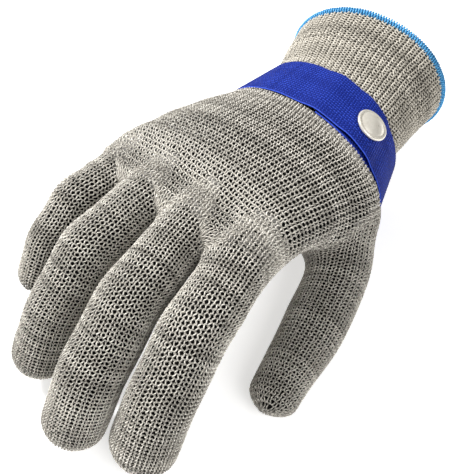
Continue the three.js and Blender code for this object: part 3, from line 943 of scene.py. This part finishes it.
palm_others = [(fingers[name][0], FINGER_JOIN) for name in FINGERS] + [(thumb, THUMB_JOIN)]
palm_surface = surface(palm, PALM_COLUMNS, palm_others)
palm_start = palm["knots"][2] - START_UNDER_STRAP
palm_cuts = np.linspace(palm_start, palm["at"][-1] - PALM_STOP, 4)
for n, part_name in enumerate(("heel", "middle", "knuckles")):
    piece = knit_piece(
        f"palm_knit_{part_name}", palm_surface, palm_cuts[n], palm_cuts[n + 1], PALM_WALES,
        PALM_YARN, PALM_SPACING, CLOSE, STEEL_PAINTS, dense_from=palm["at"][-1] - WEB_LENGTH,
    )
    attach(piece, "palm")
    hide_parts("palm_shell")

for name, (t, points, aims, stops) in fingers.items():
    s = surface(t, FINGER_COLUMNS, [(palm, FINGER_JOIN)])
    wales = int(round(length_round(s, stops[1]) / FINGER_GAUGE))
    cuts = [KNIT_START, (stops[0] + stops[1]) / 2, (stops[1] + stops[2]) / 2, t["at"][-1] - FINGER_STOP]
    bodies = ["palm", f"{name}_proximal", f"{name}_middle", f"{name}_distal"]
    for k, part_name in enumerate(("base", "middle", "tip")):
        piece = knit_finger(f"{name}_knit_{part_name}", s, cuts[k], cuts[k + 1], wales)
        bend_between(piece)
        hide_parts(bodies[k + 1])

s = surface(thumb, FINGER_COLUMNS, [(palm, THUMB_JOIN)])
wales = int(round(length_round(s, thumb_stops[1]) / FINGER_GAUGE))
cuts = [KNIT_START, (thumb_stops[0] + thumb_stops[1]) / 2, thumb["at"][-1] - FINGER_STOP]
thumb_bodies = (("base", "palm", "thumb_proximal"), ("tip", "thumb_proximal", "thumb_distal"))
for k, (part_name, a, b) in enumerate(thumb_bodies):
    piece = knit_finger(f"thumb_knit_{part_name}", s, cuts[k], cuts[k + 1], wales)
    bend_between(piece)
    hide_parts(b)

cuff_surface = surface(cuff, PALM_COLUMNS)
cuff_cuts = [START_UNDER_STRAP, CUFF_SPLIT, cuff["at"][-1] - CUFF_STOP]
for n, part_name in enumerate(("wrist", "rim")):
    piece = knit_piece(
        f"cuff_rib_{part_name}", cuff_surface, cuff_cuts[n], cuff_cuts[n + 1], CUFF_WALES,
        CUFF_YARN, CUFF_SPACING, RIB, RIB_PAINTS,
    )
    if n == 0:
        bend_between(piece)
    else:
        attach(piece, "cuff")
    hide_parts("cuff")

def oval(angle, centre, side, up, wide, thick):
    """Points round an oval and their outward directions."""
    c = np.cos(angle)[:, None]
    s = np.sin(angle)[:, None]
    return centre + side * c * wide + up * s * thick, unit(side * c / wide + up * s / thick)


# ---- the overlocked hem ----
HEM_TURNS = 186
HEM_SAMPLES = 12
HEM_REACH = 1.35
HEM_PROUD = 0.95
HEM_MIDDLE = 1.25
HEM_INSET = 0.8
HEM_UNEVEN = 0.06
HEM_CORE_POINTS = 180


def rim_ring(count):
    """Points and outward directions round the middle of the hem, and the way the cuff points."""
    rim = CUFF[-1]
    side, ahead, up = section_frame(rim)
    angle = np.arange(count) * 2 * math.pi / count
    wide, thick = rim["wide"] - HEM_INSET, rim["thick"] - HEM_INSET
    ring, outward = oval(angle, section_centre(rim), side, up, wide, thick)
    return ring + ahead * HEM_MIDDLE, outward, ahead


def hem():
    """One yarn wound round the rim in square turns, over a thick core."""
    yarns = Yarns()
    count = HEM_TURNS * HEM_SAMPLES
    ring, outward, ahead = rim_ring(count)
    turn = np.arange(count) * 2 * math.pi / HEM_SAMPLES
    uneven = 1 + HEM_UNEVEN * np.repeat(rng.normal(0, 1, HEM_TURNS), HEM_SAMPLES)
    square = 1 / (np.abs(np.cos(turn)) ** 3 + np.abs(np.sin(turn)) ** 3) ** (1 / 3)
    radial = outward * (HEM_PROUD * np.cos(turn) * square)[:, None]
    path = ring + radial + ahead[None, :] * (HEM_REACH * np.sin(turn) * square * uneven)[:, None]
    yarns.add(path, unit(path - ring), radius=0.42, closed=True, shade=0.5)
    core, outward, _ = rim_ring(HEM_CORE_POINTS)
    yarns.add(core, outward, radius=0.8, closed=True, shade=0.2)
    return yarns.make("cuff_hem_overlock", [HEM_YARN])


hem_piece = hem()
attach(hem_piece, "cuff")
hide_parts("cuff_hem")

# ---- the strap: angles in degrees round the wrist, 0 at the thumb side and 90 on the back ----
STRAP_THICKNESS = 1.1
STRAP_CLEARANCE = 0.5
BAND_TOP = STRAP_CLEARANCE + STRAP_THICKNESS
FLAP_LIFT = 3.4
FLAP_BED = BAND_TOP + 0.6
FLAP_SMOOTHING = 3
SNAP_ANGLE = 46
SNAP_OFFSET = -1.5
SNAP_CAP_RADIUS = 6.75
SNAP_POST_RADIUS = 1.8
BAND_START = 112
BAND_END = 438
FLAP_END = -28
FLAP_BEND = (107.0, 96.0)
WEAVE = 1.25
WEAVE_HEIGHT = 0.42
WEAVE_ROUNDNESS = 0.92
WEAVE_DIP = 0.25
WEFT_SHADE = 0.75
# What the webbing's material reads in the weave's gaps, on its sides and back, and at its cut ends.
LOWEST_LEVEL = 0.15
SIDE_LEVEL = 0.4
END_LEVEL = 0.3
ALONG_STEP = 0.3
ACROSS_STEP = 0.25
WOVEN_EDGE = 0.35
EDGE_ROUNDING = 1.2
EDGE_DROP = 0.25
UNDER_COLUMNS = 14
UNDER_EDGE = 0.4
UNDER_LIFT = 0.02
# From the strap's edge inwards, and the height there.
STRAP_RIM = [(0.1, 0.7), (0, 0.45), (0.1, 0.18)]
FLAP_HEIGHTS = [
    (-90, FLAP_BED), (SNAP_ANGLE - 16, FLAP_BED), (SNAP_ANGLE - 9, FLAP_LIFT), (SNAP_ANGLE + 9, FLAP_LIFT),
    (SNAP_ANGLE + 16, FLAP_BED), (79, FLAP_BED), (90, STRAP_CLEARANCE), (180, STRAP_CLEARANCE),
]


def strap_edge(angle, towards):
    """Points on one edge of the strap and their outward directions."""
    middle, end = (section_control(PALM[n], ROUND, 0) for n in (1, towards))
    share = STRAP_WIDTH / 2 / np.linalg.norm(end[0] - middle[0])
    centre, side, up, wide, thick, _ = (a + (b - a) * share for a, b in zip(middle, end))
    return oval(np.radians(angle), centre, unit(side), unit(up), wide, thick)


def strap_points(angle, along, lift):
    """Points over the knit at an angle round the wrist, a distance along it, lifted straight off it."""
    angle, along, lift = np.broadcast_arrays(np.asarray(angle, float), along, lift)
    pa, na = strap_edge(angle.ravel(), 2)
    pb, nb = strap_edge(angle.ravel(), 0)
    share = (0.5 + along.ravel() / STRAP_WIDTH)[:, None]
    h = lift.ravel()[:, None]
    p = (pa + na * h) * (1 - share) + (pb + nb * h) * share
    return p.reshape(*angle.shape, 3)


def flap_height(angle):
    """How high the flap's underside lies at angles, its listed heights smoothed a little."""
    spread = np.linspace(-FLAP_SMOOTHING, FLAP_SMOOTHING, 9)[:, None]
    return np.interp(angle[None, :] + spread, *zip(*FLAP_HEIGHTS)).mean(axis=0)


def weave_height(run, across):
    """Height and thread shade of a plain weave at places along and across the webbing."""
    x = run / WEAVE
    y = across / WEAVE
    warp = np.floor(y)
    weft = np.floor(x)
    v = (y - warp - 0.5) * 2
    u = (x - weft - 0.5) * 2
    over = 0.5 + 0.5 * np.cos(math.pi * (x - 0.5) + math.pi * warp)
    under = 0.5 - 0.5 * np.cos(math.pi * (y - 0.5) + math.pi * weft)
    a = np.sqrt(1 - WEAVE_ROUNDNESS * v * v) * (WEAVE_DIP + (1 - WEAVE_DIP) * over)
    b = np.sqrt(1 - WEAVE_ROUNDNESS * u * u) * (WEAVE_DIP + (1 - WEAVE_DIP) * under)
    return np.maximum(a, b), np.where(a > b, 1.0, WEFT_SHADE)


def webbing(name, start, stop, height_at):
    """Woven webbing laid round the wrist between two angles, with rounded woven edges and cut ends."""
    fine = np.linspace(start, stop, 721)
    line = strap_points(fine, 0, height_at(fine) + STRAP_THICKNESS)
    run = distances(line)
    places = np.linspace(0, run[-1], int(run[-1] / ALONG_STEP))
    angle = np.interp(places, run, fine)
    half = STRAP_WIDTH / 2
    top_half = half - WOVEN_EDGE
    across = np.linspace(-top_half, top_half, int(2 * top_half / ACROSS_STEP))
    from_band = places + strap_run_origin(start)
    weave, shade = weave_height(from_band[:, None], (across + half)[None, :])
    edge = np.clip((half - np.abs(across)) / EDGE_ROUNDING, 0, 1) ** 0.5
    thickness = STRAP_THICKNESS - WEAVE_HEIGHT + WEAVE_HEIGHT * weave - (1 - edge)[None, :] * EDGE_DROP
    base = height_at(angle)[:, None]
    top = strap_points(angle[:, None], across[None, :], base + thickness)
    right = [strap_points(angle, half - inward, base[:, 0] + h) for inward, h in STRAP_RIM]
    left = [strap_points(angle, inward - half, base[:, 0] + h) for inward, h in STRAP_RIM[::-1]]
    under_across = np.linspace(half - UNDER_EDGE, UNDER_EDGE - half, UNDER_COLUMNS)
    under = strap_points(angle[:, None], under_across[None, :], base + UNDER_LIFT)
    ring = np.concatenate([top, np.stack(right, 1), under, np.stack(left, 1)], axis=1)
    rows, columns = ring.shape[:2]
    faces = np.vstack([round_quads(rows, columns), end_fans(rows, columns)])
    points = np.vstack([ring.reshape(-1, 3), ring[0].mean(axis=0), ring[-1].mean(axis=0)])
    level = np.full((rows, columns, 3), SIDE_LEVEL)
    level[:, : len(across), 0] = LOWEST_LEVEL + (1 - LOWEST_LEVEL) * weave * shade
    level = np.vstack([level.reshape(-1, 3), np.full((2, 3), END_LEVEL)])
    return build(name, points, faces, [WEBBING], None, {"weave": level})


def strap_run_origin(start):
    """How far along the weave a piece starts, so that the weave runs on from flap to band."""
    fine = np.linspace(min(start, BAND_START), max(start, BAND_START), 91)
    run = distances(strap_points(fine, 0, BAND_TOP))[-1]
    return run if start > BAND_START else -run


band = webbing("wrist_strap_webbing", BAND_START, BAND_END, lambda a: np.full(len(a), STRAP_CLEARANCE))
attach(band, "palm")
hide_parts("wrist_strap")
flap = webbing("strap_flap_webbing", BAND_START, FLAP_END, flap_height)
hinge_start, hinge_end = strap_points(np.array(FLAP_BEND), 0, STRAP_CLEARANCE)
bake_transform(flap)
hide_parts("strap_flap")

# ---- the snap ----
SNAP_SIDES = 64
SNAP_PROBE = 8
POST_DEPTH = 1.6
CAP_LIFT = 0.35
CAP_UNDERSIDE = 6.0
LIP_RADIUS = 0.7
LIP_HEIGHT = 0.6
DOME_RADIUS = 4.9
DOME_FOOT = 1.42
DOME_HEIGHT = 1.0
FOOT_GAP = 0.1


def snap_stand():
    """Where the snap stands on the knit and the way its axis points, square to the strap."""
    one = np.array([float(SNAP_ANGLE)])
    point = strap_points(one, SNAP_OFFSET, 0)[0]
    before, after = (strap_points(one + turn, SNAP_OFFSET, 0)[0] for turn in (-SNAP_PROBE, SNAP_PROBE))
    low, high = (strap_points(one, along, 0)[0] for along in (-SNAP_PROBE, SNAP_PROBE))
    normal = unit(np.cross(after - before, high - low))
    return point, normal if normal[2] > 0 else -normal


def lathe(name, profile):
    """A turned piece on the snap's axis from its profile of radius and height."""
    point, normal = snap_stand()
    first = unit(np.cross(normal, [0, 1, 0]))
    second = np.cross(normal, first)
    angle = np.arange(SNAP_SIDES) * 2 * math.pi / SNAP_SIDES
    around = np.cos(angle)[:, None] * first + np.sin(angle)[:, None] * second
    rings = [point + normal * z + around * r for r, z in profile if r > 0]
    points = np.vstack(rings + [point + normal * profile[0][1], point + normal * profile[-1][1]])
    faces = np.vstack([round_quads(len(rings), SNAP_SIDES), end_fans(len(rings), SNAP_SIDES)])
    return build(name, points, faces, [SNAP_METAL])


def cap_profile():
    """The post, the cap's flat underside, its rolled lip, the groove inside the lip and a low dome."""
    flap_top = FLAP_LIFT + STRAP_THICKNESS
    foot = flap_top + CAP_LIFT
    post_foot = flap_top - POST_DEPTH
    underside = foot - FOOT_GAP
    profile = [(0, post_foot), (SNAP_POST_RADIUS, post_foot), (SNAP_POST_RADIUS, underside)]
    profile.append((CAP_UNDERSIDE, underside))
    for degrees in range(-80, 121, 20):
        a = math.radians(degrees)
        radius = SNAP_CAP_RADIUS - LIP_RADIUS + LIP_RADIUS * math.cos(a)
        profile.append((radius, foot + LIP_HEIGHT + LIP_RADIUS * math.sin(a)))
    profile += [(5.45, foot + 1.12), (5.25, foot + 1.18)]
    for share in (1, 0.8, 0.6, 0.4, 0.2, 0.05, 0):
        profile.append((DOME_RADIUS * share, foot + DOME_FOOT + DOME_HEIGHT * (1 - share**2)))
    return profile


cap = lathe("snap_cap_domed", cap_profile())
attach(cap, "flap")
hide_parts("snap_cap")
for node in ("snap_socket", "snap_stud", "snap_eyelet"):
    mesh = frame["nodes"][node].data
    mesh.materials.clear()
    mesh.materials.append(SNAP_METAL)

# ---- the tacks ----
TACKS = {"little_side": 190, "thumb_side": 318}
TACK_HALF = STRAP_WIDTH / 2 - 3.5
TACK_TURNS = 34
TACK_SAMPLES = 8
TACK_SWING = 1.25
TACK_LIFT = 0.55
TACK_WAVE = 0.25
BED_ANGLES = (-0.8, 0, 0.8)
BED_LIFT = 0.35


def tack(name, angle):
    """A bar of zigzag thread over three straight ones, that sews the band to the knit."""
    yarns = Yarns()
    t = np.linspace(0, 1, TACK_TURNS * TACK_SAMPLES)
    swing = TACK_SWING * np.sin(t * TACK_TURNS * math.pi)
    along = -TACK_HALF + 2 * TACK_HALF * t
    lift = BAND_TOP + TACK_LIFT + TACK_WAVE * np.cos(t * TACK_TURNS * 2 * math.pi)
    path = strap_points(angle + swing, along, lift)
    normal = unit(path - section_centre(PALM[1]))
    yarns.add(path, normal, radius=0.28, closed=False, shade=0.5)
    for offset in BED_ANGLES:
        line = strap_points(angle + offset + 0 * t, along, BAND_TOP + BED_LIFT)
        yarns.add(line, normal, radius=0.3, closed=False, shade=0.3)
    return yarns.make(f"strap_tack_stitches_{name}", [TACK_YARN])


for name, angle in TACKS.items():
    piece = tack(name, angle)
    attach(piece, "palm")
    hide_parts(f"strap_tack_{name}")

# ---- floor and light ----
FLOOR_HALF = 3.0
FLOOR_GREY = 0.93
FLOOR_GLOW = 0.54
WORLD_LIGHT = 0.2
WHITE = (1, 1, 1, 1)
floor_mesh = bpy.data.meshes.new("floor")
corners = [(x * FLOOR_HALF, y * FLOOR_HALF, 0) for x, y in ((-1, -1), (1, -1), (1, 1), (-1, 1))]
floor_mesh.from_pydata(corners, [], [(0, 1, 2, 3)])
floor = add_object("floor", floor_mesh)
floor_paint, _, floor_shader = material("floor_paper")
set_inputs(floor_shader, {"Base Color": (FLOOR_GREY, FLOOR_GREY, FLOOR_GREY, 1), "Roughness": 0.9})
set_inputs(floor_shader, {"Emission Color": WHITE, "Emission Strength": FLOOR_GLOW})
floor_mesh.materials.append(floor_paint)


def area_light(name, place, power, size):
    """A round soft light aimed at the glove. Its place and size are in metres, its power in watts."""
    data = bpy.data.lights.new(name, "AREA")
    data.energy = power
    data.shape = "DISK"
    data.size = size
    light = add_object(name, data)
    light.location = Vector(place)
    light.rotation_euler = (Vector(TARGET * MM) - Vector(place)).to_track_quat("-Z", "Y").to_euler()


area_light("key", (-0.72, -0.12, 0.9), power=22, size=0.3)
area_light("fill", (0.8, -0.42, 0.8), power=7.5, size=0.7)
world = bpy.data.worlds.new("world")
world.use_nodes = True
set_inputs(world.node_tree.nodes["Background"], {"Color": WHITE, "Strength": WORLD_LIGHT})
bpy.context.scene.world = world
bpy.context.scene.view_settings.view_transform = "Standard"
